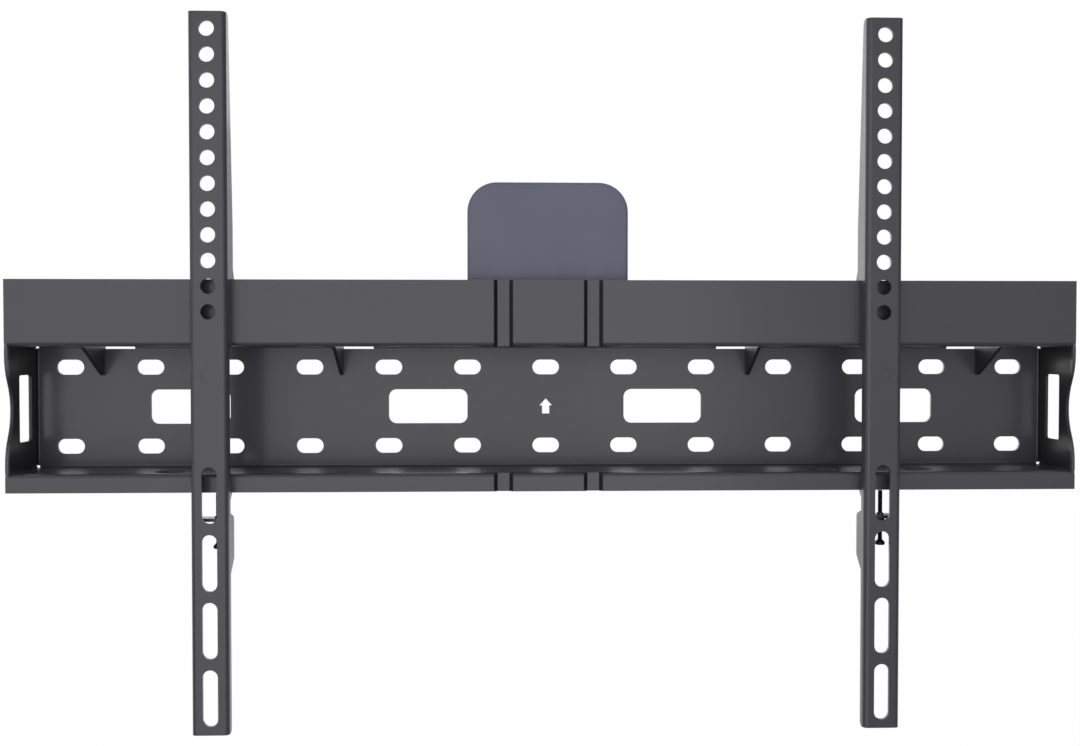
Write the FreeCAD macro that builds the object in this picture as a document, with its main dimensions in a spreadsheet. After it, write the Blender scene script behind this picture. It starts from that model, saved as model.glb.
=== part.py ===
import FreeCAD, Part
import math
import os
import types
import Sketcher

# Fixed wall mount for a flat television: a folded wall plate with a shelf for a small media box,
# two U-section arms that hook over the plate's upper lip, and a lock screw under each arm.
# Frame: +X to the right along the plate, +Z up, +Y into the wall. The origin is the middle of the
# wall fixing pattern, on the back face that lies against the wall.

doc = FreeCAD.newDocument("television_wall_mount")
Vector = FreeCAD.Vector

# Driving sizes, in millimetres: alias, value, what it is
SIZES = [
    ("plate_width", 645, "wall plate, over the end flanges"),
    ("channel_height", 80, "wall plate, over the two long flanges"),
    ("plate_depth", 46, "wall to the front of the lips"),
    ("plate_sheet", 2, "sheet thickness of the wall plate"),
    ("inner_bend", 1, "inside radius of every bend"),
    ("upper_lip", 38, "upper lip above the top flange"),
    ("lower_lip", 9.2, "lower lip below the bottom flange"),
    ("relief_diameter", 3.4, "round relief at the web's four corners"),
    ("relief_margin", 0.3, "corner notch past the start of the bends"),
    ("wall_slot_pitch", 50, "from one wall slot to the next"),
    ("wall_slot_count", 13, "wall slots in a row"),
    ("wall_row_spacing", 50, "between the two rows of wall slots"),
    ("wall_slot_length", 17, "wall slot, end to end"),
    ("wall_slot_width", 9.4, "wall slot, across"),
    ("window_width", 50, "cable window, across"),
    ("window_height", 21.7, "cable window, high"),
    ("window_radius", 5, "cable window corners"),
    ("window_inner", 75, "middle of the plate to an inner window"),
    ("window_outer", 225, "middle of the plate to an outer window"),
    ("arrow_height", 9.6, "this-way-up arrow, tip to tail"),
    ("arrow_width", 8, "arrow head, across"),
    ("arrow_head", 4.4, "arrow head, high"),
    ("arrow_stem", 4.6, "arrow stem, across"),
    ("end_slot_height", 41, "slot in an end flange, high"),
    ("end_slot_depth", 18, "slot in an end flange, front to back"),
    ("end_slot_setback", 9.2, "web to the slot in an end flange"),
    ("end_slot_radius", 1.5, "corners of that slot"),
    ("scoop_depth", 8, "hollow in the front edge of an end flange"),
    ("scoop_height", 66, "the same hollow, high"),
    ("flange_gap", 0.4, "end flange to the long flanges"),
    ("gusset_inner", 128.6, "middle of the plate to an inner gusset's fold"),
    ("gusset_outer", 278.6, "middle of the plate to an outer gusset's fold"),
    ("gusset_drop", 18, "gusset tab below the top flange"),
    ("gusset_reach", 36.5, "gusset tab forward from the web"),
    ("gusset_tip", 2.6, "blunt lower tip of a gusset tab"),
    ("gusset_relief", 1.4, "gusset opening down past the bend of the web"),
    ("bead_spacing", 54.2, "between the two pressed beads"),
    ("bead_width", 11.2, "pressed bead, across its mouth"),
    ("bead_floor", 7.1, "pressed bead, across its floor"),
    ("bead_depth", 2, "pressed bead, deep"),
    ("access_diameter", 18, "round access hole in the bottom flange"),
    ("access_pair", 59, "between the two access holes beside an arm"),
    ("access_setback", 32, "wall to the middle of an access hole"),
    ("arm_spacing", 400, "between the middles of the arms"),
    ("arm_length", 424.8, "arm, top to bottom"),
    ("arm_top", 233.3, "middle of the fixing pattern to the arm's top"),
    ("arm_width", 22, "arm, across its face"),
    ("arm_sheet", 2, "sheet thickness of an arm"),
    ("arm_standoff", 57, "wall to the front of an arm"),
    ("arm_top_depth", 7.4, "arm flange depth at its top"),
    ("arm_hook_depth", 16, "arm flange depth at the hook"),
    ("arm_low_depth", 6.6, "arm flange depth below the hook"),
    ("arm_taper", 32, "upper lip to the foot of the arm's taper"),
    ("arm_corner", 3, "round corners of an arm flange"),
    ("seat_gap", 0.2, "arm hook to the top of the upper lip"),
    ("lip_gap", 0.3, "arm flange to the faces of a lip"),
    ("tongue_length", 12, "hook tongue behind the upper lip"),
    ("tongue_width", 6, "hook tongue, front to back"),
    ("lug_depth", 15.4, "arm flange depth at the lock lug"),
    ("lug_height", 33, "lock lug, high"),
    ("lug_drop", 14.8, "lower lip to the top of the lock tab"),
    ("lug_ramp_upper", 3, "slope above the lock lug"),
    ("lug_ramp_lower", 8, "slope below the lock lug"),
    ("hole_diameter", 9, "screw hole for the television"),
    ("hole_pitch", 15, "from one screw hole to the next"),
    ("hole_count", 12, "screw holes in an arm"),
    ("hole_edge", 10, "arm's top to its first hole"),
    ("arm_slot_length", 33.5, "arm slot, end to end"),
    ("arm_slot_width", 9, "arm slot, across"),
    ("arm_slot_pitch", 40, "from one arm slot to the next"),
    ("arm_slot_count", 4, "slots in an arm"),
    ("arm_slot_edge", 21.9, "arm's bottom to the middle of its last slot"),
    ("mark_diameter", 9, "round centre mark on an arm's face"),
    ("mark_depth", 0.3, "the same mark, deep"),
    ("mark_height", 20.8, "middle of the fixing pattern to the centre mark"),
    ("tab_depth", 9, "lock tab, front to back"),
    ("tab_gap", 0.5, "free end of the lock tab to the far flange"),
    ("lock_offset", 2.4, "arm's middle to its lock screw"),
    ("lock_diameter", 2.8, "lock screw shank"),
    ("lock_clearance", 0.05, "lock screw in its nut, all round"),
    ("lock_tip_gap", 0.3, "lock screw's tip to the lower lip"),
    ("lock_shank", 26.2, "lock screw, tip to neck"),
    ("lock_neck", 3.7, "cone between shank and head"),
    ("lock_head_diameter", 5.8, "lock screw head"),
    ("lock_head_height", 3.3, "lock screw head, high"),
    ("lock_socket", 3, "hexagon socket in the head, across flats"),
    ("lock_socket_depth", 2.2, "hexagon socket, deep"),
    ("nut_diameter", 4.2, "lock nut barrel"),
    ("nut_collar", 5.4, "lock nut collar"),
    ("nut_rise", 0.8, "lock nut barrel above the tab"),
    ("nut_collar_height", 1.4, "lock nut collar under the tab"),
    ("nut_fit", 0.03, "lock nut barrel in the tab, all round"),
    ("box_side", 98, "media box, square"),
    ("box_depth", 24, "media box, front to back"),
    ("box_corner", 18, "media box corners"),
    ("box_edge", 2, "soft edge round the media box's face"),
    ("box_setback", 36, "wall to the face of the media box"),
    ("base_inset", 9, "media box foot pad inside the case's outline"),
    ("base_depth", 1.6, "media box foot pad, deep"),
]

sheet = doc.addObject("Spreadsheet::Sheet", "Sizes")
for row, (alias, value, note) in enumerate(SIZES, start=1):
    sheet.set(f"A{row}", alias)
    sheet.set(f"B{row}", str(value))
    sheet.set(f"C{row}", note)
    sheet.setAlias(f"B{row}", alias)
doc.recompute()


class Length:
    """A number with the sheet formula that gives it, so that a sketch is drawn and bound at once."""

    def __init__(self, number, formula):
        self.number, self.formula = float(number), formula

    @staticmethod
    def of(other):
        return other if isinstance(other, Length) else Length(other, f"{other}")

    def __add__(self, other):
        other = Length.of(other)
        return Length(self.number + other.number, f"({self.formula} + {other.formula})")

    def __sub__(self, other):
        other = Length.of(other)
        return Length(self.number - other.number, f"({self.formula} - {other.formula})")

    def __mul__(self, other):
        other = Length.of(other)
        return Length(self.number * other.number, f"({self.formula} * {other.formula})")

    def __truediv__(self, other):
        other = Length.of(other)
        return Length(self.number / other.number, f"({self.formula} / {other.formula})")

    def __neg__(self):
        return Length(-self.number, f"(0 - {self.formula})")

    def __radd__(self, other):
        return Length.of(other) + self

    def __rsub__(self, other):
        return Length.of(other) - self

    def __rmul__(self, other):
        return Length.of(other) * self


S = types.SimpleNamespace(**{a: Length(sheet.get(a), f"Sizes.{a}") for a, _, _ in SIZES})
ZERO = Length(0, "0")

# Heights and depths that several pieces share
half_channel = S.channel_height / 2
inside_channel = half_channel - S.plate_sheet
outer_bend = S.inner_bend + S.plate_sheet
lip_top = half_channel + S.upper_lip
lip_bottom = -half_channel - S.lower_lip
lip_front = -S.plate_depth
lip_back = lip_front + S.plate_sheet
web_front = -S.plate_sheet
half_width = S.plate_width / 2
overshoot = 2 * S.plate_sheet


def bind(thing, prop, length):
    """Sets a property from a Length, with its formula."""
    thing.setExpression(prop, Length.of(length).formula)


def new_body(label):
    """A body for one sub-part, with the label that names its file."""
    body = doc.addObject("PartDesign::Body", label)
    body.Label = label
    return body


def datum(body, role):
    """One of the body's own origin planes or axes."""
    return next(o for o in body.Origin.OriginFeatures if o.Role == role)


def new_sketch(body, name, role, offset=ZERO):
    """A sketch on an origin plane, moved along that plane's normal by offset."""
    sketch = body.newObject("Sketcher::SketchObject", name)
    sketch.AttachmentSupport = [(datum(body, role), "")]
    sketch.MapMode = "FlatFace"
    bind(sketch, "AttachmentOffset.Base.z", offset)
    return sketch


def pin(sketch, geometry, point, x, y):
    """Holds one point of a sketch at (x, y)."""
    for kind, length in (("DistanceX", x), ("DistanceY", y)):
        length = Length.of(length)
        rule = sketch.addConstraint(
            Sketcher.Constraint(kind, -1, 1, geometry, point, length.number)
        )
        sketch.setExpression(f"Constraints[{rule}]", length.formula)


def draw_polygon(sketch, corners):
    """A closed outline of straight lines, each corner pinned."""
    corners = [(Length.of(x), Length.of(y)) for x, y in corners]
    first = sketch.GeometryCount
    for i, (x, y) in enumerate(corners):
        next_x, next_y = corners[(i + 1) % len(corners)]
        sketch.addGeometry(
            Part.LineSegment(
                Vector(x.number, y.number, 0), Vector(next_x.number, next_y.number, 0)
            ),
            False,
        )
    for i, (x, y) in enumerate(corners):
        following = first + (i + 1) % len(corners)
        sketch.addConstraint(Sketcher.Constraint("Coincident", first + i, 2, following, 1))
        pin(sketch, first + i, 1, x, y)


def draw_circle(sketch, x, y, diameter):
    """A circle with its centre pinned and its diameter bound."""
    x, y, diameter = Length.of(x), Length.of(y), Length.of(diameter)
    circle = sketch.addGeometry(
        Part.Circle(Vector(x.number, y.number, 0), Vector(0, 0, 1), diameter.number / 2), False
    )
    pin(sketch, circle, 3, x, y)
    rule = sketch.addConstraint(Sketcher.Constraint("Diameter", circle, diameter.number))
    sketch.setExpression(f"Constraints[{rule}]", diameter.formula)


def draw_band(sketch, pegs, radius):
    """A closed outline like a band stretched round equal pegs, listed counter-clockwise."""
    radius = Length.of(radius)
    pegs = [(Length.of(x), Length.of(y)) for x, y in pegs]
    spots = [Vector(x.number, y.number, 0) for x, y in pegs]
    count = len(pegs)
    headings = []
    for i, spot in enumerate(spots):
        run = spots[(i + 1) % count] - spot
        headings.append(math.atan2(run.y, run.x) - math.pi / 2)
    arcs, lines = [], []
    for i, spot in enumerate(spots):
        start, end = headings[i - 1], headings[i]
        if end <= start:
            end += 2 * math.pi
        round_peg = Part.Circle(spot, Vector(0, 0, 1), radius.number)
        arcs.append(sketch.addGeometry(Part.ArcOfCircle(round_peg, start, end), False))
    for i in range(count):
        push = Vector(math.cos(headings[i]), math.sin(headings[i]), 0) * radius.number
        here, there = spots[i] + push, spots[(i + 1) % count] + push
        lines.append(sketch.addGeometry(Part.LineSegment(here, there), False))
    for i in range(count):
        sketch.addConstraint(Sketcher.Constraint("Tangent", arcs[i], 2, lines[i], 1))
        sketch.addConstraint(Sketcher.Constraint("Tangent", lines[i], 2, arcs[(i + 1) % count], 1))
        pin(sketch, arcs[i], 3, *pegs[i])
    rule = sketch.addConstraint(Sketcher.Constraint("Radius", arcs[0], radius.number))
    sketch.setExpression(f"Constraints[{rule}]", radius.formula)
    for arc in arcs[1:]:
        sketch.addConstraint(Sketcher.Constraint("Equal", arcs[0], arc))


def draw_slot(sketch, x, y, along, across, upright=False):
    """A slot with round ends, centred on (x, y)."""
    reach = (along - across) / 2
    if upright:
        pegs = [(x, y - reach), (x, y + reach)]
    else:
        pegs = [(x - reach, y), (x + reach, y)]
    draw_band(sketch, pegs, across / 2)


def pad(body, name, sketch, length, both_ways=False, backwards=False):
    """Adds a sketch's outline along its normal."""
    if "Invalid" in sketch.State:
        raise RuntimeError(f"{sketch.Label} does not solve")
    feature = body.newObject("PartDesign::Pad", name)
    feature.Profile = sketch
    bind(feature, "Length", length)
    feature.Midplane = both_ways
    feature.Reversed = backwards
    doc.recompute()
    return feature


def pocket(body, name, sketch, length=None):
    """Cuts a sketch's outline both ways from its plane: right through, or length in all."""
    before = body.Shape.Volume
    feature = body.newObject("PartDesign::Pocket", name)
    feature.Profile = sketch
    feature.Midplane = True
    if length is None:
        feature.Type = "ThroughAll"
    else:
        bind(feature, "Length", length)
    doc.recompute()
    if body.Shape.Volume >= before:
        raise RuntimeError(f"{name} cuts nothing")
    return feature


def repeat(body, name, feature, role, pitch, count, backwards=False):
    """Repeats a feature in a row along one of the body's axes."""
    row = body.newObject("PartDesign::LinearPattern", name)
    row.Originals = [feature]
    row.Direction = (datum(body, role), [""])
    row.Reversed = backwards
    bind(row, "Length", pitch * (count - 1))
    row.setExpression("Occurrences", count.formula)
    body.Tip = row
    doc.recompute()
    return row


def round_edges(body, name, radius, wanted):
    """Fillets the straight edges of the body whose middle point and direction are wanted."""
    solid = body.Tip
    names = []
    for number, edge in enumerate(solid.Shape.Edges, start=1):
        if not isinstance(edge.Curve, (Part.Line, Part.LineSegment)):
            continue
        along = edge.Vertexes[-1].Point - edge.Vertexes[0].Point
        middle = edge.CenterOfMass
        if along.Length > 0 and wanted(middle, along.normalize()):
            names.append(f"Edge{number}")
    if not names:
        raise RuntimeError(f"{name} finds no edge")
    feature = body.newObject("PartDesign::Fillet", name)
    feature.Base = (solid, names)
    bind(feature, "Radius", radius)
    doc.recompute()
    return feature


def close(a, b, slack=0.01):
    """Whether two numbers agree."""
    return abs(a - Length.of(b).number) < slack


def at_any(a, b, places):
    """Whether the point (a, b) is one of some places."""
    return any(close(a, x) and close(b, y) for x, y in places)


def mirror_pairs(value):
    """A place to the right of the middle, and its twin to the left."""
    return (value, -value)


# The wall plate: one folded sheet
def wall_plate():
    body = new_body("wall_plate")

    section = new_sketch(body, "channel_section", "YZ_Plane")
    draw_polygon(section, [
        (ZERO, -half_channel), (ZERO, half_channel), (lip_back, half_channel),
        (lip_back, lip_top), (lip_front, lip_top), (lip_front, inside_channel),
        (web_front, inside_channel), (web_front, -inside_channel),
        (lip_front, -inside_channel), (lip_front, lip_bottom),
        (lip_back, lip_bottom), (lip_back, -half_channel),
    ])
    pad(body, "channel", section, S.plate_width, both_ways=True)

    outside = [(ZERO, half_channel), (ZERO, -half_channel),
               (lip_front, inside_channel), (lip_front, -inside_channel)]
    inside = [(web_front, inside_channel), (web_front, -inside_channel),
              (lip_back, half_channel), (lip_back, -half_channel)]
    for name, radius, places in (("outside", outer_bend, outside), ("inside", S.inner_bend, inside)):
        round_edges(body, f"long_bends_{name}", radius,
                    lambda mid, along: abs(along.x) > 0.99 and at_any(mid.y, mid.z, places))
    round_edges(body, "lip_corners", outer_bend,
                lambda mid, along: abs(along.y) > 0.99 and close(mid.z, lip_bottom)
                and close(abs(mid.x), half_width))

    add_end_flanges(body)
    cut_corner_notches(body)
    round_edges(body, "end_bends_outside", outer_bend,
                lambda mid, along: abs(along.z) > 0.99 and close(mid.y, 0)
                and close(abs(mid.x), half_width))
    round_edges(body, "end_bends_inside", S.inner_bend,
                lambda mid, along: abs(along.z) > 0.99 and close(mid.y, web_front)
                and close(abs(mid.x), half_width - S.plate_sheet))
    cut_corner_reliefs(body)

    cut_web_openings(body)
    cut_end_slots(body)
    cut_access_holes(body)
    cut_gusset_openings(body)
    press_beads(body)
    fold_gussets(body)
    return body


def add_end_flanges(body):
    """The two flanges folded forward from the web's ends, each with a scooped front edge."""
    edge = inside_channel - S.flange_gap
    half_scoop = S.scoop_height / 2
    for side, backwards in (("left", False), ("right", True)):
        offset = half_width if backwards else -half_width
        sketch = new_sketch(body, f"end_flange_{side}_outline", "YZ_Plane", offset)
        draw_scooped_flange(sketch, edge, half_scoop)
        pad(body, f"end_flange_{side}", sketch, S.plate_sheet, backwards=backwards)


def draw_scooped_flange(sketch, edge, half_scoop):
    """Straight sides, and a front edge that dips in by four equal arcs: out, in, in, out.

    Each arc spans half of the half-scoop, so that its radius is (run^2 + rise^2) / (2 rise), with
    run half of the half-scoop and rise half of the scoop's depth.
    """
    run, rise = half_scoop / 2, S.scoop_depth / 2
    radius = (run * run + rise * rise) / (2 * rise)
    corners = [(lip_front, half_scoop), (lip_front, edge), (ZERO, edge), (ZERO, -edge),
               (lip_front, -edge), (lip_front, -half_scoop)]
    spots = [Vector(Length.of(x).number, Length.of(y).number, 0) for x, y in corners]
    for i, (start, end) in enumerate(zip(spots, spots[1:])):
        sketch.addGeometry(Part.LineSegment(start, end), False)
        pin(sketch, i, 1, *corners[i])
        if i:
            sketch.addConstraint(Sketcher.Constraint("Coincident", i - 1, 2, i, 1))
    last = len(spots) - 2
    pin(sketch, last, 2, *corners[-1])

    swing = math.asin(run.number / radius.number)
    foot, hollow = lip_front + radius, lip_front + S.scoop_depth - radius

    def arc(y, z, start, end):
        spot = Vector(Length.of(y).number, Length.of(z).number, 0)
        circle = Part.Circle(spot, Vector(0, 0, 1), radius.number)
        return sketch.addGeometry(Part.ArcOfCircle(circle, start, end), False)

    low = arc(foot, -half_scoop, math.pi - swing, math.pi)
    middle = arc(hollow, ZERO, -swing, swing)
    high = arc(foot, half_scoop, math.pi, math.pi + swing)
    sketch.addConstraint(Sketcher.Constraint("Coincident", last, 2, low, 2))
    sketch.addConstraint(Sketcher.Constraint("Coincident", low, 1, middle, 1))
    sketch.addConstraint(Sketcher.Constraint("Coincident", middle, 2, high, 2))
    sketch.addConstraint(Sketcher.Constraint("Coincident", high, 1, 0, 1))
    pin(sketch, middle, 1, lip_front + rise, -run)
    pin(sketch, middle, 2, lip_front + rise, run)
    rule = sketch.addConstraint(Sketcher.Constraint("Radius", middle, radius.number))
    sketch.setExpression(f"Constraints[{rule}]", radius.formula)
    sketch.addConstraint(Sketcher.Constraint("Equal", middle, low))
    sketch.addConstraint(Sketcher.Constraint("Equal", middle, high))


def notch_corners():
    """The inner corner of each notch, where the bends of the web begin, with its directions."""
    start_of_bend = outer_bend + S.relief_margin
    x, z = half_width - start_of_bend, half_channel - start_of_bend
    return [(x * i, z * j, i, j) for i in (1, -1) for j in (1, -1)]


def cut_corner_notches(body):
    """The square notches that part an end flange's bend from the long flanges' bends."""
    notch = new_sketch(body, "notch_squares", "XZ_Plane")
    reach = outer_bend + overshoot
    for x, z, i, j in notch_corners():
        draw_polygon(notch, [(x, z), (x + i * reach, z), (x + i * reach, z + j * reach),
                             (x, z + j * reach)])
    pocket(body, "corner_notches", notch, 2 * (outer_bend + S.inner_bend))


def cut_corner_reliefs(body):
    """A round relief at the inner corner of each notch."""
    relief = new_sketch(body, "relief_circles", "XZ_Plane")
    for x, z, _, _ in notch_corners():
        draw_circle(relief, x, z, S.relief_diameter)
    pocket(body, "corner_reliefs", relief, 2 * (outer_bend + S.inner_bend))


def cut_web_openings(body):
    """Two rows of slots, four cable windows and the this-way-up arrow."""
    through_web = 2 * overshoot
    slots = new_sketch(body, "wall_slot_pair", "XZ_Plane")
    first = -S.wall_slot_pitch * (S.wall_slot_count - 1) / 2
    for row in mirror_pairs(S.wall_row_spacing / 2):
        draw_slot(slots, first, row, S.wall_slot_length, S.wall_slot_width)
    pair = pocket(body, "first_wall_slots", slots, through_web)
    repeat(body, "wall_slots", pair, "X_Axis", S.wall_slot_pitch, S.wall_slot_count)

    windows = new_sketch(body, "window_outlines", "XZ_Plane")
    reach_x = S.window_width / 2 - S.window_radius
    reach_z = S.window_height / 2 - S.window_radius
    for middle in (S.window_inner, S.window_outer):
        for x in mirror_pairs(middle):
            draw_band(windows, [(x - reach_x, -reach_z), (x + reach_x, -reach_z),
                                (x + reach_x, reach_z), (x - reach_x, reach_z)], S.window_radius)
    pocket(body, "cable_windows", windows, through_web)

    arrow = new_sketch(body, "arrow_outline", "XZ_Plane")
    tip, tail = S.arrow_height / 2, -S.arrow_height / 2
    shoulder, half_head, half_stem = tip - S.arrow_head, S.arrow_width / 2, S.arrow_stem / 2
    draw_polygon(arrow, [(ZERO, tip), (-half_head, shoulder), (-half_stem, shoulder),
                         (-half_stem, tail), (half_stem, tail), (half_stem, shoulder),
                         (half_head, shoulder)])
    pocket(body, "up_arrow", arrow, through_web)


def cut_end_slots(body):
    """The upright slot through each end flange."""
    sketch = new_sketch(body, "end_slot_outline", "YZ_Plane")
    back = web_front - S.end_slot_setback - S.end_slot_radius
    front = web_front - S.end_slot_setback - S.end_slot_depth + S.end_slot_radius
    top = S.end_slot_height / 2 - S.end_slot_radius
    draw_band(sketch, [(front, -top), (back, -top), (back, top), (front, top)], S.end_slot_radius)
    pocket(body, "end_slots", sketch)


def cut_access_holes(body):
    """Round holes through the bottom flange, one each side of each arm."""
    sketch = new_sketch(body, "access_circles", "XY_Plane", S.plate_sheet / 2 - half_channel)
    for arm in mirror_pairs(S.arm_spacing / 2):
        for side in mirror_pairs(S.access_pair / 2):
            draw_circle(sketch, arm + side, -S.access_setback, S.access_diameter)
    pocket(body, "access_holes", sketch, overshoot)


def gusset_folds():
    """Each gusset's fold line and the way out from the middle of the plate."""
    return [(place * side, side) for place in (S.gusset_inner, S.gusset_outer) for side in (1, -1)]


def cut_gusset_openings(body):
    """What a folded gusset leaves behind: a three-cornered opening in the top flange."""
    flange = new_sketch(body, "gusset_opening_outlines", "XY_Plane",
                        half_channel - S.plate_sheet / 2)
    web = new_sketch(body, "gusset_relief_outlines", "XZ_Plane")
    length = S.gusset_drop + S.inner_bend
    for fold, side in gusset_folds():
        far = fold - side * length
        draw_polygon(flange, [(fold, web_front), (far, web_front),
                              (fold - side * S.gusset_tip, web_front - S.gusset_reach),
                              (fold, web_front - S.gusset_reach)])
        low = inside_channel - S.gusset_relief
        high = half_channel + S.plate_sheet
        draw_polygon(web, [(fold, low), (far, low), (far, high), (fold, high)])
    pocket(body, "gusset_openings", flange, overshoot)
    pocket(body, "gusset_reliefs", web, 2 * outer_bend)


def fold_gussets(body):
    """The three-cornered tabs folded down from the top flange against the web."""
    back = web_front - S.flange_gap
    front = web_front - S.gusset_reach
    tip = back - S.gusset_tip
    low = inside_channel - S.gusset_drop
    high = half_channel - S.plate_sheet / 2
    for number, (fold, side) in enumerate(gusset_folds(), start=1):
        sketch = new_sketch(body, f"gusset_{number}_outline", "YZ_Plane", fold)
        draw_polygon(sketch, [(back, high), (front, high), (front, inside_channel), (tip, low),
                              (back, low)])
        pad(body, f"gusset_{number}", sketch, S.plate_sheet, backwards=side < 0)


def press_beads(body):
    """Two beads pressed back into both lips, running round the bends."""
    half_mouth, half_floor = S.bead_width / 2, S.bead_floor / 2

    def draw_section(sketch, face, sunk_to):
        """Both beads' sections, from in front of a face down to sunk_to."""
        for middle in mirror_pairs(S.bead_spacing / 2):
            draw_polygon(sketch, [
                (middle - half_mouth, face - S.bead_depth / 2),
                (middle + half_mouth, face - S.bead_depth / 2),
                (middle + half_mouth, face), (middle + half_floor, sunk_to),
                (middle - half_floor, sunk_to), (middle - half_mouth, face),
            ])

    mid_flange = half_channel - S.plate_sheet / 2
    for name, foot, length in (
        ("upper", mid_flange, lip_top - mid_flange),
        ("lower", lip_bottom, -mid_flange - lip_bottom),
    ):
        rib = new_sketch(body, f"bead_rib_{name}_section", "XY_Plane", foot)
        draw_section(rib, lip_back, lip_back + S.bead_depth)
        pad(body, f"bead_ribs_{name}", rib, length)
    groove = new_sketch(body, "bead_groove_section", "XY_Plane")
    draw_section(groove, lip_front, lip_front + S.bead_depth)
    pocket(body, "bead_grooves", groove)


# The arms: two identical folded channels that hook over the upper lip
arm_front = -S.arm_standoff
arm_bottom = S.arm_top - S.arm_length
lug_top = lip_bottom - S.lug_drop
lock_axis = lip_front + S.plate_sheet / 2


def arm(label, side):
    body = new_body(label)
    half = S.arm_width / 2
    outer = S.inner_bend + S.arm_sheet

    outline = new_sketch(body, "flange_outline", "YZ_Plane")
    hook_back = arm_front + S.arm_hook_depth
    low_back = arm_front + S.arm_low_depth
    lug_back = arm_front + S.lug_depth
    tongue_front = lip_back + S.lip_gap
    tongue_back = tongue_front + S.tongue_width
    seat = lip_top + S.seat_gap
    tongue_tip = seat - S.tongue_length
    rest = lip_front - S.lip_gap
    ramp = rest - low_back
    corners = [
        (arm_front, S.arm_top), (arm_front + S.arm_top_depth, S.arm_top),
        (hook_back, lip_top + S.arm_taper), (hook_back, seat + S.tongue_length / 2),
        (tongue_back, seat), (tongue_back, tongue_tip), (tongue_front, tongue_tip),
        (tongue_front, seat), (rest, seat),
        (rest, half_channel), (low_back, half_channel - ramp),
        (low_back, ramp - half_channel), (rest, -half_channel),
        (rest, lip_bottom), (low_back, lip_bottom - ramp),
        (low_back, lug_top + S.lug_ramp_upper), (lug_back, lug_top),
        (lug_back, lug_top - S.lug_height + S.lug_ramp_lower),
        (low_back, lug_top - S.lug_height), (low_back, arm_bottom), (arm_front, arm_bottom),
    ]
    draw_polygon(outline, corners)
    pad(body, "flanges", outline, S.arm_width, both_ways=True)

    rounded = [corners[i] for i in (1, 2, 5, 16, 17, 19)]
    round_edges(body, "flange_corners", S.arm_corner / 1,
                lambda mid, along: abs(along.x) > 0.99 and at_any(mid.y, mid.z, rounded))

    hollow = new_sketch(body, "hollow_section", "XY_Plane")
    inner = half - S.arm_sheet
    floor = arm_front + S.arm_sheet
    open_side = tongue_back + overshoot
    draw_polygon(hollow, [(-inner, floor), (inner, floor), (inner, open_side), (-inner, open_side)])
    pocket(body, "hollow", hollow)
    round_edges(body, "bends_outside", outer,
                lambda mid, along: abs(along.z) > 0.99 and close(mid.y, arm_front)
                and close(abs(mid.x), half))
    round_edges(body, "bends_inside", S.inner_bend,
                lambda mid, along: abs(along.z) > 0.99 and close(mid.y, floor)
                and close(abs(mid.x), inner))

    through_face = 2 * (S.arm_standoff - S.arm_sheet / 2 + overshoot)
    hole = new_sketch(body, "screw_hole_circle", "XZ_Plane")
    draw_circle(hole, ZERO, S.arm_top - S.hole_edge, S.hole_diameter)
    first = pocket(body, "first_screw_hole", hole, through_face)
    repeat(body, "screw_holes", first, "Z_Axis", S.hole_pitch, S.hole_count, backwards=True)

    slot = new_sketch(body, "arm_slot_outline", "XZ_Plane")
    draw_slot(slot, ZERO, arm_bottom + S.arm_slot_edge, S.arm_slot_length, S.arm_slot_width,
              upright=True)
    last = pocket(body, "last_arm_slot", slot, through_face)
    repeat(body, "arm_slots", last, "Z_Axis", S.arm_slot_pitch, S.arm_slot_count)

    mark = new_sketch(body, "centre_mark_circle", "XZ_Plane", S.arm_standoff)
    draw_circle(mark, ZERO, S.mark_height, S.mark_diameter)
    pocket(body, "centre_mark", mark, 2 * S.mark_depth)

    tab = new_sketch(body, "lock_tab_outline", "XY_Plane", lug_top)
    tab_back = lug_back - S.arm_corner
    tab_front = lug_back - S.tab_depth
    root = -inner - S.arm_sheet / 2
    tip = inner - S.tab_gap
    draw_polygon(tab, [(root, tab_front), (tip, tab_front), (tip, tab_back + S.arm_corner),
                       (root, tab_back + S.arm_corner)])
    tab_feature = pad(body, "lock_tab", tab, S.arm_sheet, backwards=True)
    nut_hole = new_sketch(body, "nut_hole_circle", "XY_Plane", lug_top - S.arm_sheet / 2)
    draw_circle(nut_hole, S.lock_offset, lock_axis, S.nut_diameter + 2 * S.nut_fit)
    pocket(body, "nut_hole", nut_hole, overshoot)

    bind(body, "Placement.Base.x", side * S.arm_spacing / 2)
    doc.recompute()
    return body


def turned_piece(label, side, half_section):
    """A piece of revolution about the upright axis of one arm's lock screw."""
    body = new_body(label)
    section = new_sketch(body, "half_section", "XZ_Plane")
    draw_polygon(section, half_section)
    turn = body.newObject("PartDesign::Revolution", "turned_form")
    turn.Profile = section
    turn.ReferenceAxis = (datum(body, "Z_Axis"), [""])
    turn.Angle = 360
    bind(body, "Placement.Base.x", side * S.arm_spacing / 2 + S.lock_offset)
    bind(body, "Placement.Base.y", lock_axis)
    doc.recompute()
    return body


def lock_nut(label, side):
    bore = S.lock_diameter / 2 + S.lock_clearance
    barrel, collar = S.nut_diameter / 2, S.nut_collar / 2
    under_tab = lug_top - S.arm_sheet
    foot = under_tab - S.nut_collar_height
    return turned_piece(label, side, [
        (bore, foot), (collar, foot), (collar, under_tab), (barrel, under_tab),
        (barrel, lug_top + S.nut_rise), (bore, lug_top + S.nut_rise),
    ])


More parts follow.
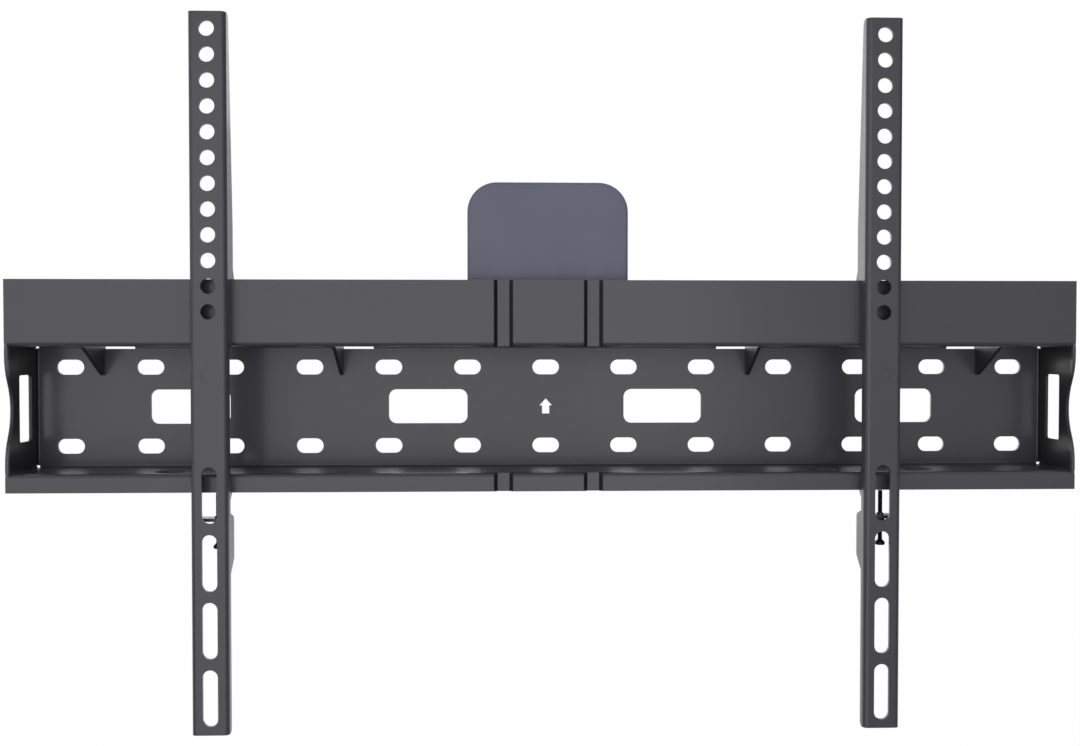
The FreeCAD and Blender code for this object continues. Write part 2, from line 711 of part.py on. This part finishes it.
def lock_screw(label, side):
    shank, head = S.lock_diameter / 2, S.lock_head_diameter / 2
    tip = lip_bottom - S.lock_tip_gap
    neck_top = tip - S.lock_shank
    head_top = neck_top - S.lock_neck
    foot = head_top - S.lock_head_height
    chamfer = S.lock_diameter / 8
    body = turned_piece(label, side, [
        (ZERO, foot), (head - chamfer, foot), (head, foot + chamfer), (head, head_top),
        (shank, neck_top), (shank, tip - chamfer), (shank - chamfer, tip), (ZERO, tip),
    ])
    socket = new_sketch(body, "socket_outline", "XY_Plane", foot)
    corner = S.lock_socket / math.sqrt(3)
    draw_polygon(socket, [(corner * round(math.cos(math.radians(60 * i)), 9),
                           corner * round(math.sin(math.radians(60 * i)), 9)) for i in range(6)])
    pocket(body, "hexagon_socket", socket, 2 * S.lock_socket_depth)
    return body


# The media box: a closed case standing on the shelf behind the upper lip, and its foot pad
def media_box_case():
    body = new_body("media_box_case")
    outline = new_sketch(body, "case_outline", "XZ_Plane", S.box_setback)
    draw_box_outline(outline, ZERO)
    pad(body, "case", outline, S.box_depth, backwards=True)
    solid = body.Tip
    depths = [face.CenterOfMass.y for face in solid.Shape.Faces]
    front_face = depths.index(min(depths)) + 1
    feature = body.newObject("PartDesign::Fillet", "soft_edge")
    feature.Base = (solid, [f"Face{front_face}"])
    bind(feature, "Radius", S.box_edge)
    doc.recompute()
    return body


def draw_box_outline(sketch, inset):
    """The media box's rounded square, standing on the top flange, drawn in by an inset."""
    reach = S.box_side / 2 - S.box_corner
    middle = half_channel + S.box_side / 2
    draw_band(sketch, [(-reach, middle - reach), (reach, middle - reach),
                       (reach, middle + reach), (-reach, middle + reach)], S.box_corner - inset)


def media_box_base():
    body = new_body("media_box_base")
    outline = new_sketch(body, "base_outline", "XZ_Plane", S.box_setback - S.box_depth)
    draw_box_outline(outline, S.base_inset)
    pad(body, "foot_pad", outline, S.base_depth, backwards=True)
    return body


parts = [wall_plate(), media_box_case(), media_box_base()]
for name, side in (("left", -1), ("right", 1)):
    parts.append(arm(f"{name}_arm", side))
    parts.append(lock_nut(f"{name}_lock_nut", side))
    parts.append(lock_screw(f"{name}_lock_screw", side))
doc.recompute()

for thing in doc.Objects:
    if "Invalid" in thing.State or "Error" in thing.State:
        raise RuntimeError(f"{thing.Label} did not compute: {thing.State}")
for part in parts:
    if part.Shape.isNull() or not part.Shape.isValid() or len(part.Shape.Solids) != 1:
        raise RuntimeError(f"{part.Label} is not one valid solid")

os.makedirs("parts", exist_ok=True)
for part in parts:
    part.Shape.exportStep(f"parts/{part.Label}.step")
    box = part.Shape.BoundBox
    print(f"{part.Label:18s} volume {part.Shape.Volume:10.1f} mm3  "
          f"X {box.XMin:8.2f} {box.XMax:8.2f}  Y {box.YMin:7.2f} {box.YMax:7.2f}  "
          f"Z {box.ZMin:8.2f} {box.ZMax:8.2f}")
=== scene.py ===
# %% [markdown]
# A fixed wall mount for a television: a folded steel plate that is screwed to the wall, and two long
# uprights that hang on it by their hooks. The solids come packed, to the tenth of a millimetre, so
# this lesson gives them their coats, their fine turned parts, a camera and plain studio light. It
# starts by loading the frame, and keeps the size of its box.

# %% Load the frame
import math

import bmesh
import bpy
import numpy as np
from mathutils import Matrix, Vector

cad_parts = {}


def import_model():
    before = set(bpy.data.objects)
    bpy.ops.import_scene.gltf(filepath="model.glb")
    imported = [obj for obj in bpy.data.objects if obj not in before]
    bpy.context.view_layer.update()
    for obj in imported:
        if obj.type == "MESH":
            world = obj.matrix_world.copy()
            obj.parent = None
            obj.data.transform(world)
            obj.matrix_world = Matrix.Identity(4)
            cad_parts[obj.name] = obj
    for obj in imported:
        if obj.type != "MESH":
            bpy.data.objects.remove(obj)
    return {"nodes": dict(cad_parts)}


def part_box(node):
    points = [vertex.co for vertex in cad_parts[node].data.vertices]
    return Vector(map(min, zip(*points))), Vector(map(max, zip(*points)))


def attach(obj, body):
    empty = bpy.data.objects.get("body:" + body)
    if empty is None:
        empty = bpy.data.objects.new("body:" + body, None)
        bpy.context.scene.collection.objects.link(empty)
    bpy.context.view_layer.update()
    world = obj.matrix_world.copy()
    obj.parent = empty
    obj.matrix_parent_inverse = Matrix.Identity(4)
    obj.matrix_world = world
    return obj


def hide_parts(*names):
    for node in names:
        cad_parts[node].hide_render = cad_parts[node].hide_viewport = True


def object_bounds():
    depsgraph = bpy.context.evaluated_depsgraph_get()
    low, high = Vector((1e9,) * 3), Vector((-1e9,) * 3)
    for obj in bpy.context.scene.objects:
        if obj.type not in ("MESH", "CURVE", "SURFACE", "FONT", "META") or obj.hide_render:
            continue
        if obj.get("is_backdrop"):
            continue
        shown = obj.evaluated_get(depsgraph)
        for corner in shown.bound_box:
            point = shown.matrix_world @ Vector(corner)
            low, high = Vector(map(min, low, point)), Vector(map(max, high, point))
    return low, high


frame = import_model()
cad_low, cad_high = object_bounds()
nodes = frame["nodes"]
millimetre = 0.001
print("nodes:", sorted(nodes))
print("box, mm:", [round((b - a) / millimetre, 1) for a, b in zip(cad_low, cad_high)])

# %% [markdown]
# The picture was taken from a little left of the plate's middle and some three quarters of a metre
# in front of the wall, almost square on. A camera could be placed by eye, but the mount is full of
# evenly spaced holes, so the distance and the focal length were solved from their places. What is
# left is to write them down: a place in millimetres, a direction, and the focal length in pixels of
# a picture of that width.

# %% Camera
picture_width = 1080
focal_pixels = 1139.0
camera_place = Vector((-28.73, -730.25, 37.24)) * millimetre
camera_look = Vector((0.03442, 0.99916, -0.02209))

camera_data = bpy.data.cameras.new("picture_camera")
camera_data.sensor_fit = "HORIZONTAL"
camera_data.lens = camera_data.sensor_width * focal_pixels / picture_width
camera_data.clip_start, camera_data.clip_end = 0.01, 50
camera = bpy.data.objects.new("picture_camera", camera_data)
camera.location = camera_place
camera.rotation_euler = camera_look.to_track_quat("-Z", "Y").to_euler()
bpy.context.scene.collection.objects.link(camera)
bpy.context.scene.camera = camera
bpy.context.scene.view_settings.view_transform = "Standard"
print("lens, mm:", round(camera_data.lens, 2))

# %% [markdown]
# A finish is a small network of nodes, and most of it is arithmetic on one number per point. Wiring
# Math nodes by hand hides the sum, so a value here is an object that knows the usual operators:
# writing 1 - mask * 0.3 adds the nodes.

# %% Values as Python expressions
class Value:
    """One number per point of a surface: a socket with the operators + - and *."""

    def __init__(self, graph, socket):
        self.graph, self.socket = graph, socket

    def _math(self, operation, first, second):
        node = self.graph.node("ShaderNodeMath", {"operation": operation}, {0: first, 1: second})
        return Value(self.graph, node.outputs[0])

    def __add__(self, other):
        return self._math("ADD", self, other)

    def __sub__(self, other):
        return self._math("SUBTRACT", self, other)

    def __mul__(self, other):
        return self._math("MULTIPLY", self, other)

    def __radd__(self, other):
        return self._math("ADD", other, self)

    def __rsub__(self, other):
        return self._math("SUBTRACT", other, self)

    def __rmul__(self, other):
        return self._math("MULTIPLY", other, self)

    def smaller(self, other):
        return self._math("MINIMUM", self, other)

    def larger(self, other):
        return self._math("MAXIMUM", self, other)

    def size(self):
        """The value without its sign."""
        return self._math("ABSOLUTE", self, 0)

    def ramp(self, start, end, low=0.0, high=1.0):
        """low before start, high after end, and a smooth step between them."""
        node = self.graph.node(
            "ShaderNodeMapRange", {"interpolation_type": "SMOOTHSTEP"},
            {"Value": self, "From Min": start, "From Max": end, "To Min": low, "To Max": high})
        return Value(self.graph, node.outputs[0])


print("values know + - * and ramps")

# %% [markdown]
# Every other node comes from one method that takes its type, its settings and what goes into its
# sockets. A socket takes a plain number or colour, a value, or another socket, and one method finds
# out which it was given.

# %% Nodes from one method
class Graph:
    """The nodes of a material or of the world."""

    def __init__(self, owner):
        owner.use_nodes = True
        self.tree = owner.node_tree
        self.tree.nodes.clear()

    def node(self, kind, settings=(), sockets=()):
        """A node of a type, its settings first, then its sockets' values or links."""
        node = self.tree.nodes.new(kind)
        for name, value in dict(settings).items():
            setattr(node, name, value)
        for name, value in dict(sockets).items():
            self.join(node.inputs[name], value)
        return node

    def join(self, socket, value):
        """Links a socket to a value or another socket, or sets it to a plain number or colour."""
        if isinstance(value, Value):
            value = value.socket
        if isinstance(value, bpy.types.NodeSocket):
            self.tree.links.new(value, socket)
        elif hasattr(value, "__len__") and len(value) == 3 and len(socket.default_value) == 4:
            socket.default_value = (*value, 1.0)
        else:
            socket.default_value = value

    def split(self, vector):
        """The three parts of a vector, each as a value."""
        node = self.node("ShaderNodeSeparateXYZ", {}, {0: vector})
        return [Value(self, node.outputs[i]) for i in range(3)]

    def ray(self, kind):
        """1 where the path that arrives is of this kind, and 0 elsewhere."""
        return Value(self, self.node("ShaderNodeLightPath").outputs[f"Is {kind} Ray"])


print("one method makes every node")

# %% [markdown]
# A finish is such a graph with one shader in it. Every pattern here is noise on Object coordinates,
# which for these pieces are plain metres in the mount's own frame: the pattern sticks to the piece
# when a joint moves it, and its grain can be given as a real width.

# %% Finishes
class Finish(Graph):
    """A material with its shader, and helpers that add nodes to it."""

    def __init__(self, name):
        self.material = bpy.data.materials.new(name)
        super().__init__(self.material)
        self.shader = self.node("ShaderNodeBsdfPrincipled")
        self.output = self.node("ShaderNodeOutputMaterial", {}, {"Surface": self.shader.outputs[0]})
        self.place = self.node("ShaderNodeTexCoord").outputs["Object"]

    def set(self, **sockets):
        """Sets or links the shader's own sockets, named with underscores for spaces."""
        for name, value in sockets.items():
            self.join(self.shader.inputs[name.replace("_", " ")], value)

    def noise(self, across, detail, roughness=0.5, squeeze=(1, 1, 1)):
        """Soft noise from 0 to 1, its lumps about as wide as across, in metres, over squeeze."""
        place = self.node("ShaderNodeMapping", {}, {"Vector": self.place, "Scale": squeeze})
        node = self.node("ShaderNodeTexNoise", {"noise_dimensions": "3D"},
                         {"Vector": place.outputs[0], "Scale": 1 / across, "Detail": detail,
                          "Roughness": roughness})
        return Value(self, node.outputs[0])

    def blend(self, mask, first, second):
        """A colour that goes from first to second as mask goes from 0 to 1."""
        node = self.node("ShaderNodeMix", {"data_type": "RGBA"},
                         {0: mask, 6: first, 7: second})
        return node.outputs[2]

    def bump(self, height, distance, strength):
        """A normal tilted by a height from 0 to 1 that stands for a distance in metres."""
        node = self.node("ShaderNodeBump", {},
                         {"Height": height, "Distance": distance, "Strength": strength})
        return node.outputs[0]

    def dress(self, *pieces):
        """Gives this finish to whole pieces."""
        for piece in pieces:
            piece.data.materials.clear()
            piece.data.materials.append(self.material)


print("finish helpers ready")

# %% [markdown]
# The steel is powder coated: dry paint dust, baked until it flows. Up close it has a fine orange
# peel, three quarters of a millimetre across and a few hundredths high, and its gloss drifts a
# little where the coat is thicker. A flat grey with one roughness looks like card, so the peel goes
# into the normal, and two wider noises shift the colour and the gloss. Handling leaves faint lighter
# rubs. The clear skin over the pigment is the shader's coat, smoother than what lies under it.

# %% Powder coat
steel_grey = (0.053, 0.053, 0.067)
coat_weight, coat_roughness = 0.55, 0.17


def powder_coat(name, grey, roughness):
    """Satin paint: grey is its colour, and roughness that of the pigment under the clear skin."""
    coat = Finish(name)
    clouds = coat.noise(0.060, detail=3)
    dust = coat.noise(0.0045, detail=4, roughness=0.6)
    rubs = coat.noise(0.018, detail=5, roughness=0.7, squeeze=(1, 1, 3)).ramp(0.62, 0.78)
    peel = coat.noise(0.00075, detail=1.5)
    lighter = tuple(1.18 * c for c in grey)
    darker = tuple(0.92 * c for c in grey)
    shade = coat.blend(clouds.ramp(0.35, 0.65), darker, grey)
    worn = (rubs * 0.25 + dust.ramp(0.55, 0.75) * 0.12).smaller(1.0)
    coat.colour = coat.blend(worn, shade, lighter)
    drift = clouds.ramp(0.3, 0.7, -0.03, 0.03) + dust.ramp(0.3, 0.7, -0.02, 0.02)
    coat.set(Base_Color=coat.colour, Roughness=roughness + drift, Metallic=0.0,
             Specular_IOR_Level=0.5, Coat_Weight=coat_weight, Coat_Roughness=coat_roughness,
             Normal=coat.bump(peel * 0.8 + dust * 0.2, 0.00003, 0.35))
    return coat


arm_coat = powder_coat("arm_powder_coat", steel_grey, 0.48)
arm_coat.dress(nodes["left_arm"], nodes["right_arm"])
print("powder coat on both arms")

# %% [markdown]
# Two beads are pressed back into the plate's lips. Their narrow walls lie in deep shade and read as
# black lines, and that shade is painted here. The plate's own coordinate finds them: the distance
# from a bead's middle, the same on both sides of the plate, lies on a wall when it is between half
# the bead's floor and half its mouth. There the colour is painted near black and the clear coat
# thinned, as painted shade. The same painted shade goes on what stands inside the channel, the end
# flanges and the tabs folded down from above: all that lies in front of the web, behind the lips
# and clear of the long flanges.

# %% Powder coat of the plate, with painted shade in its beads and channel
def after(value, start, end):
    """0 before start and 1 after end, both in millimetres."""
    return value.ramp(start * millimetre, end * millimetre)


def before(value, start, end):
    """1 before start and 0 after end, both in millimetres."""
    return value.ramp(start * millimetre, end * millimetre, 1.0, 0.0)


plate_coat = powder_coat("plate_powder_coat", steel_grey, 0.46)
across, depth, height = plate_coat.split(plate_coat.place)
from_middle, from_axis = across.size(), height.size()

bead_middle, half_floor, half_mouth, soft = 27.1, 3.6, 5.9, 0.25
from_bead = (from_middle - bead_middle * millimetre).size()
on_bead_wall = (after(from_bead, half_floor - soft, half_floor + soft)
                * before(from_bead, half_mouth - soft, half_mouth + soft)
                * before(depth, -43.0, -42.0) * after(from_axis, 38.0, 38.4))

in_front_of_web, behind_lips = before(depth, -2.25, -2.10), after(depth, -43.8, -43.0)
between_flanges, within_ends = before(from_axis, 37.2, 37.8), before(from_middle, 321.6, 322.2)
in_channel = in_front_of_web * behind_lips * between_flanges * within_ends

# Painted shade: bead walls and faces inside the channel turn near black, and their coat is thinned.
painted_shade = (on_bead_wall * 0.92).larger(in_channel * 0.75)
near_black_shade, coat_in_shade = (0.003, 0.003, 0.003), 0.01
plate_coat.set(Base_Color=plate_coat.blend(painted_shade, plate_coat.colour, near_black_shade),
               Coat_Weight=coat_weight - painted_shade * (coat_weight - coat_in_shade))
plate_coat.dress(nodes["wall_plate"])
print("powder coat on the plate")

# %% [markdown]
# The small box on the shelf is moulded plastic. Its face is smooth and slightly blue, its sides are
# the same, and the mould was eroded by sparks, which leaves a matt grain half a millimetre wide. The
# pad on its back is soft rubber with a coarser, duller grain.

# %% Moulded plastic and rubber
def moulded(name, colour, roughness, grain, height):
    """Plastic or rubber from a grained mould: the grain's width and height are in metres."""
    skin = Finish(name)
    speckle = skin.noise(grain, detail=2)
    drift = skin.noise(0.040, detail=2)
    paler = tuple(1.10 * c for c in colour)
    skin.set(Base_Color=skin.blend(drift.ramp(0.35, 0.65, 0.0, 0.6), colour, paler),
             Roughness=roughness + speckle.ramp(0.3, 0.7, -0.04, 0.04),
             Normal=skin.bump(speckle, height, 0.4))
    return skin


shell = moulded("box_shell_plastic", (0.135, 0.140, 0.200), 0.50, grain=0.0005, height=0.00002)
foot = moulded("box_foot_rubber", (0.018, 0.018, 0.020), 0.75, grain=0.0009, height=0.00006)
shell.dress(nodes["media_box_case"])
foot.dress(nodes["media_box_base"])
print("box shell and foot pad finished")

# %% [markdown]
# Under each arm a black screw stands in a small nut and keeps the arm from being lifted off. In the
# solids its shank is smooth. A real one has a rolled thread, a ridge that climbs half a millimetre a
# turn, so here the screw's outline is turned once more with the ridge in it. The surface is a grid:
# one way runs round the axis, the other from the tip to the head's foot and into its socket, and the
# ridge is a triangle wave of height along the axis minus the angle's share of a turn.

# %% A threaded screw as a grid
turn_steps = 48
rows_per_pitch = 10
thread_pitch, thread_depth = 0.5 * millimetre, 0.20 * millimetre
shank_radius, head_radius, socket_radius = 1.4 * millimetre, 2.9 * millimetre, 1.6 * millimetre
head_height, neck_height, socket_depth = 1.8 * millimetre, 1.4 * millimetre, 1.2 * millimetre
chamfer = 0.35 * millimetre


def screw_surface(bottom, top):
    """Radius as a function of angle and height: the outline's radius less the thread's groove.

    The groove's depth at angle a and height z is thread_depth times the triangle wave of
    z / pitch - a / (2 pi), and fades in over one pitch at the tip and at the neck. In the socket the
    radius is that of a hexagon, r cos(30) / cos(30 - b), where b is the angle from a corner, up to
    30 degrees, and r the radius at a corner.
    """
    head_top = bottom + head_height
    neck_top = head_top + neck_height
    shank_top = top - chamfer
    shank_heights = np.arange(shank_top, neck_top, -thread_pitch / rows_per_pitch)
    outline = [(0.0, top), (shank_radius - chamfer, top)]
    outline += [(shank_radius, z) for z in shank_heights]
    outline += [(shank_radius, neck_top), (head_radius, head_top), (head_radius, bottom + chamfer),
                (head_radius - chamfer, bottom), (socket_radius, bottom),
                (socket_radius, bottom + socket_depth), (0.0, bottom + socket_depth)]
    radius, height = np.array(outline).T
    angle = np.linspace(0, 2 * math.pi, turn_steps, endpoint=False)
    angle_grid, radius_grid = np.meshgrid(angle, radius)
    height_grid = np.repeat(height[:, None], turn_steps, axis=1)

    wave = (height_grid / thread_pitch - angle_grid / (2 * math.pi)) % 1.0
    groove = thread_depth * (1 - np.abs(2 * wave - 1))
    fade = np.clip((top - height_grid) / thread_pitch, 0, 1)
    fade *= np.clip((height_grid - neck_top) / thread_pitch, 0, 1)
    on_shank = (radius[:, None] == shank_radius) & (height_grid <= shank_top)
    radius_grid = radius_grid - np.where(on_shank, groove * fade, 0.0)

    half_side = math.pi / 6
    from_corner = np.abs((angle_grid + half_side) % (2 * half_side) - half_side)
    hexagon = math.cos(half_side) / np.cos(half_side - from_corner)
    in_socket = radius[:, None] == socket_radius
    radius_grid = np.where(in_socket, radius_grid * hexagon, radius_grid)
    return angle_grid, radius_grid, height_grid


print("thread of", thread_pitch / millimetre, "mm pitch")

# %% [markdown]
# A surface on a grid becomes a mesh when each four neighbours are joined by a face. Round the axis
# the last column is joined to the first. At the tip and at the socket's floor the whole row lies on
# the axis, so its points are merged into one, which leaves the screw a closed body.

# %% From a grid to a mesh
def add_piece(name, points, faces):
    """A new object in the scene, from points in metres and faces that are lists of their indices."""
    mesh = bpy.data.meshes.new(name)
    mesh.from_pydata(points, [], faces)
    piece = bpy.data.objects.new(name, mesh)
    bpy.context.scene.collection.objects.link(piece)
    return piece


def grid_mesh(name, x, y, z):
    """A mesh from grids of coordinates, closed round the second way, its ends merged to points."""
    rows, columns = x.shape
    points = np.stack([x, y, z], axis=-1).reshape(-1, 3)
    index = np.arange(rows * columns).reshape(rows, columns)
    a, b = index[:-1], index[1:]
    corners = [a, b, np.roll(b, -1, axis=1), np.roll(a, -1, axis=1)]
    quads = np.stack(corners, axis=-1).reshape(-1, 4)
    piece = add_piece(name, points.tolist(), quads.tolist())
    joined = bmesh.new()
    joined.from_mesh(piece.data)
    bmesh.ops.remove_doubles(joined, verts=joined.verts, dist=1e-7)
    joined.to_mesh(piece.data)
    joined.free()
    piece.data.validate()
    return piece


print("grids become closed meshes")

# %% [markdown]
# The screw is blackened steel: an oxide a thousandth of a millimetre thick, which keeps the turning
# marks and a weak shine. The nut's zinc has gone dark and dull, with brushed marks that run level.
# Paint would be a colour under a clear skin. Metal is a mirror with a colour of its own, so here
# Metallic is high, there is no coat, and the marks shift the roughness most.

# %% Black oxide and zinc
black_oxide = Finish("screw_black_oxide")
tool_marks = black_oxide.noise(0.0006, detail=3)
black_oxide.set(Base_Color=black_oxide.blend(tool_marks.ramp(0.4, 0.7), (0.012, 0.012, 0.013),
                                             (0.030, 0.030, 0.032)),
                Roughness=0.38 + tool_marks.ramp(0.3, 0.7, -0.06, 0.06), Metallic=0.6,
                Normal=black_oxide.bump(tool_marks, 0.00001, 0.3))
black_oxide.dress(nodes["left_lock_screw"], nodes["right_lock_screw"])

zinc = Finish("nut_zinc_plate")
brushing = zinc.noise(0.0004, detail=3, squeeze=(1, 1, 6))
zinc.set(Base_Color=zinc.blend(brushing.ramp(0.3, 0.7), (0.10, 0.10, 0.105), (0.17, 0.17, 0.17)),
         Roughness=0.30 + brushing.ramp(0.3, 0.7, -0.05, 0.08), Metallic=1.0,
         Normal=zinc.bump(brushing, 0.00001, 0.3))
zinc.dress(nodes["left_lock_nut"], nodes["right_lock_nut"])
print("screw and nut finishes ready")

# %% [markdown]
# A white studio has a pale floor, here well below the mount, as under a mount on a wall. The camera
# should see plain white there, and so should paint that mirrors what lies behind the mount. In front
# of it a white floor would make every edge glow from below, so there mirrors see a dark floor. One
# factor mixes the two: glowing white for the camera and, behind the mount, for reflections.

# %% Floor
floor_drop, floor_reach = 0.75, 6.0
floor_height = cad_low[2] - floor_drop
floor = add_piece("studio_floor", [(-floor_reach, -floor_reach, floor_height),
                                   (floor_reach, -floor_reach, floor_height),
                                   (floor_reach, floor_reach, floor_height),
                                   (-floor_reach, floor_reach, floor_height)], [(0, 1, 2, 3)])
floor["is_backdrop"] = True

floor_paint = Finish("studio_floor_paint")
mirror_ray = floor_paint.ray("Glossy")
floor_paint.set(Base_Color=floor_paint.blend(mirror_ray, (0.80, 0.80, 0.80), (0.12, 0.12, 0.12)),
                Roughness=0.9)
glow = floor_paint.node("ShaderNodeEmission", {}, {"Color": (1, 1, 1), "Strength": 1.0})
behind = floor_paint.split(floor_paint.place)[1].ramp(0.1, 0.8)
glow_share = floor_paint.ray("Camera").larger(mirror_ray * behind) * 0.99
mixed = floor_paint.node("ShaderNodeMixShader", {}, {
    0: glow_share, 1: floor_paint.shader.outputs[0], 2: glow.outputs[0]})
floor_paint.join(floor_paint.output.inputs["Surface"], mixed.outputs[0])
floor_paint.dress(floor)
print("floor at", round(floor_height, 3), "m")

# %% [markdown]
# The world is a sphere of light, and what it gives can depend on who asks. The camera gets plain
# white. Matt surfaces get an even, weaker light. Mirrors get a room: brightest behind the mount and
# more so to the left, some light from the left and from above, and a little in front, because satin
# steel looks like steel only when it mirrors a room that has a bright and a dark side.

# %% World
world = bpy.data.worlds.new("studio_world")
bpy.context.scene.world = world
sky = Graph(world)
sideways, away, upwards = sky.split(sky.node("ShaderNodeTexCoord").outputs["Generated"])
behind_mount = away.ramp(0.45, 0.80) * (1 - sideways * 1.4).larger(0.3).smaller(1.5)
in_front = (away * -1).ramp(0.30, 0.90) * 0.22
on_the_left = (sideways * -1).ramp(0.40, 0.95) * 0.50
overhead = upwards.ramp(0.3, 0.9) * 0.50
everywhere = 0.08
room = behind_mount + in_front + on_the_left + overhead + everywhere
mirrored = sky.ray("Glossy").larger(sky.ray("Transmission"))
on_matt_paint = 0.45
strength = sky.ray("Camera").larger(mirrored * room).larger((1 - mirrored) * on_matt_paint)
backdrop = sky.node("ShaderNodeBackground", {}, {"Color": (1, 1, 1), "Strength": strength})
sky.node("ShaderNodeOutputWorld", {}, {"Surface": backdrop.outputs[0]})
print("world ready")

# %% [markdown]
# Satin paint mirrors the lamps a little, and a small lamp would stand in it as a bright patch. So
# the main lamp is a panel almost two metres wide, in front and to the left, which fills the mirror
# image of the whole plate but its right end, and a dimmer panel on the right takes over there. That
# gives the slow fall of light from left to right. A third panel, high up behind the mount, lights
# its edges and its back.

# %% Lamps
def soft_lamp(name, place, target, side, watts):
    """A square area lamp at a place, turned to a target."""
    data = bpy.data.lights.new(name, "AREA")
    data.shape, data.size, data.energy = "SQUARE", side, watts
    lamp = bpy.data.objects.new(name, data)
    lamp.location = place
    lamp.rotation_euler = (Vector(target) - Vector(place)).to_track_quat("-Z", "Y").to_euler()
    bpy.context.scene.collection.objects.link(lamp)


soft_lamp("key_lamp", (-0.38, -1.90, -0.15), target=(0, 0, 0), side=1.9, watts=12.5)
soft_lamp("fill_lamp", (0.95, -2.10, 0.00), target=(0, 0, 0), side=1.6, watts=3)
soft_lamp("back_lamp", (0.3, 1.9, 1.3), target=(0, 0, 0.05), side=1.6, watts=8)
print("three soft lamps placed")

# %% [markdown]
# Now each threaded screw is turned in the box of the solid that it stands for, round the middle of
# that box and from its top to its bottom. It gets the solid's black finish, the solid is hidden, and
# the screw is parented to an empty named after the solid's node.

# %% Detailed lock screws
for side in ("left", "right"):
    node_name = f"{side}_lock_screw"
    low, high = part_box(node_name)
    axis_x, axis_y = (low.x + high.x) / 2, (low.y + high.y) / 2
    angle, radius, height = screw_surface(low.z, high.z)
    screw = grid_mesh(f"{side}_threaded_screw", axis_x + radius * np.cos(angle),
                      axis_y + radius * np.sin(angle), height)
    black_oxide.dress(screw)
    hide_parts(node_name)
    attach(screw, node_name)
    print(screw.name, len(screw.data.polygons), "faces")

# %% [markdown]
# The end flanges are folded separately from the long ones, and in the solids a hairline and a round
# relief stay open where they meet. On the real plate the powder bridges the hairline and fills most
# of the relief, so that only a pinhole shows. These small pieces of paint are flat shapes with a
# thickness, so each is one outline pushed along an axis, and the helper sees to it that the faces
# point outwards whichever corner the outline is mirrored to.

# %% An outline pushed along an axis
def slab(name, outline, axis, start, stop):
    """A solid between two parallel copies of a flat outline, its faces pointing outwards.

    The outline's points are pairs on the two other axes. One copy stands at start on the given axis
    and the other at stop, all in millimetres, and a four-sided face joins each edge to its copy.
    Half the sum of u[i] v[i+1] - u[i+1] v[i] is the outline's area, whose sign says which way round
    it runs. Seen along y, the pair x and z turns the other way. A run the wrong way is reversed.
    """
    flat = np.array(outline, dtype=float)
    u, v = flat.T
    area = 0.5 * np.sum(u * np.roll(v, -1) - np.roll(u, -1) * v)
    turn = -1 if axis == 1 else 1
    if area * turn * (stop - start) < 0:
        flat = flat[::-1]
    points = np.concatenate([np.insert(flat, axis, place, axis=1) for place in (start, stop)])
    here = np.arange(len(flat))
    there, above = np.roll(here, -1), len(flat)
    sides = np.stack([here, there, above + there, above + here], axis=1)
    caps = [here[::-1].tolist(), (above + here).tolist()]
    piece = add_piece(name, (points * millimetre).tolist(), caps + sides.tolist())
    piece.data.validate()
    return piece


def turned(outline, first, second):
    """An outline with each point's two numbers multiplied by first and second, each 1 or -1."""
    return [(first * u, second * v) for u, v in outline]


print("outlines can be pushed along an axis")

# %% [markdown]
# The bridge is a thin strip within the end flange's thickness that follows the lip's bend, and the
# fill is two flat patches inside the web, beside the pinhole that stays. The lower lip's ends are
# square on the real plate, so each gets a small square patch a hair behind its face. All outlines
# are given for the right upper corner, but for the lip's, which is at the right lower one.

# %% Paint in the plate's corners
bridge = [(-3.3, 37.4), (-45.9, 37.4), (-45.9, 40.0), (-45.2, 39.0), (-44.2, 38.3), (-43.0, 38.05),
          (-3.3, 38.05)]
fills = [[(317.2, 34.8), (319.6, 34.8), (319.6, 38.3), (317.2, 38.3)],
         [(319.6, 34.8), (321.2, 34.8), (321.2, 37.0), (319.6, 37.0)]]
lip_end = [(317.5, -49.2), (322.5, -49.2), (322.5, -44.0), (317.5, -44.0)]
flange_inside, flange_outside = 320.6, 322.4
lip_front, lip_back = -45.97, -44.03
web_front, web_back = -1.9, -0.1

for side_name, side in (("left", -1), ("right", 1)):
    for end_name, end in (("lower", -1), ("upper", 1)):
        corner = f"{side_name}_{end_name}"
        slabs = [slab(f"{corner}_bridge", turned(bridge, 1, end), 0, side * flange_inside,
                      side * flange_outside)]
        if end_name == "lower":
            slabs.append(slab(f"{corner}_lip_end", turned(lip_end, side, 1), 1, lip_front, lip_back))
        for number, fill in enumerate(fills, start=1):
            slabs.append(slab(f"{corner}_fill_{number}", turned(fill, side, end), 1, web_front,
                              web_back))
        for piece in slabs:
            plate_coat.dress(piece)
            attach(piece, "plate")
print("corners bridged and filled")

# %% [markdown]
# At the end the box round all that can be seen is measured once more and printed. It should be the
# same as the solids' own, because all that was added lies inside the solids' box.

# %% Sizes, and the end
low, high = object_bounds()
print("visual box, mm:", [round((b - a) / millimetre, 1) for a, b in zip(low, high)])
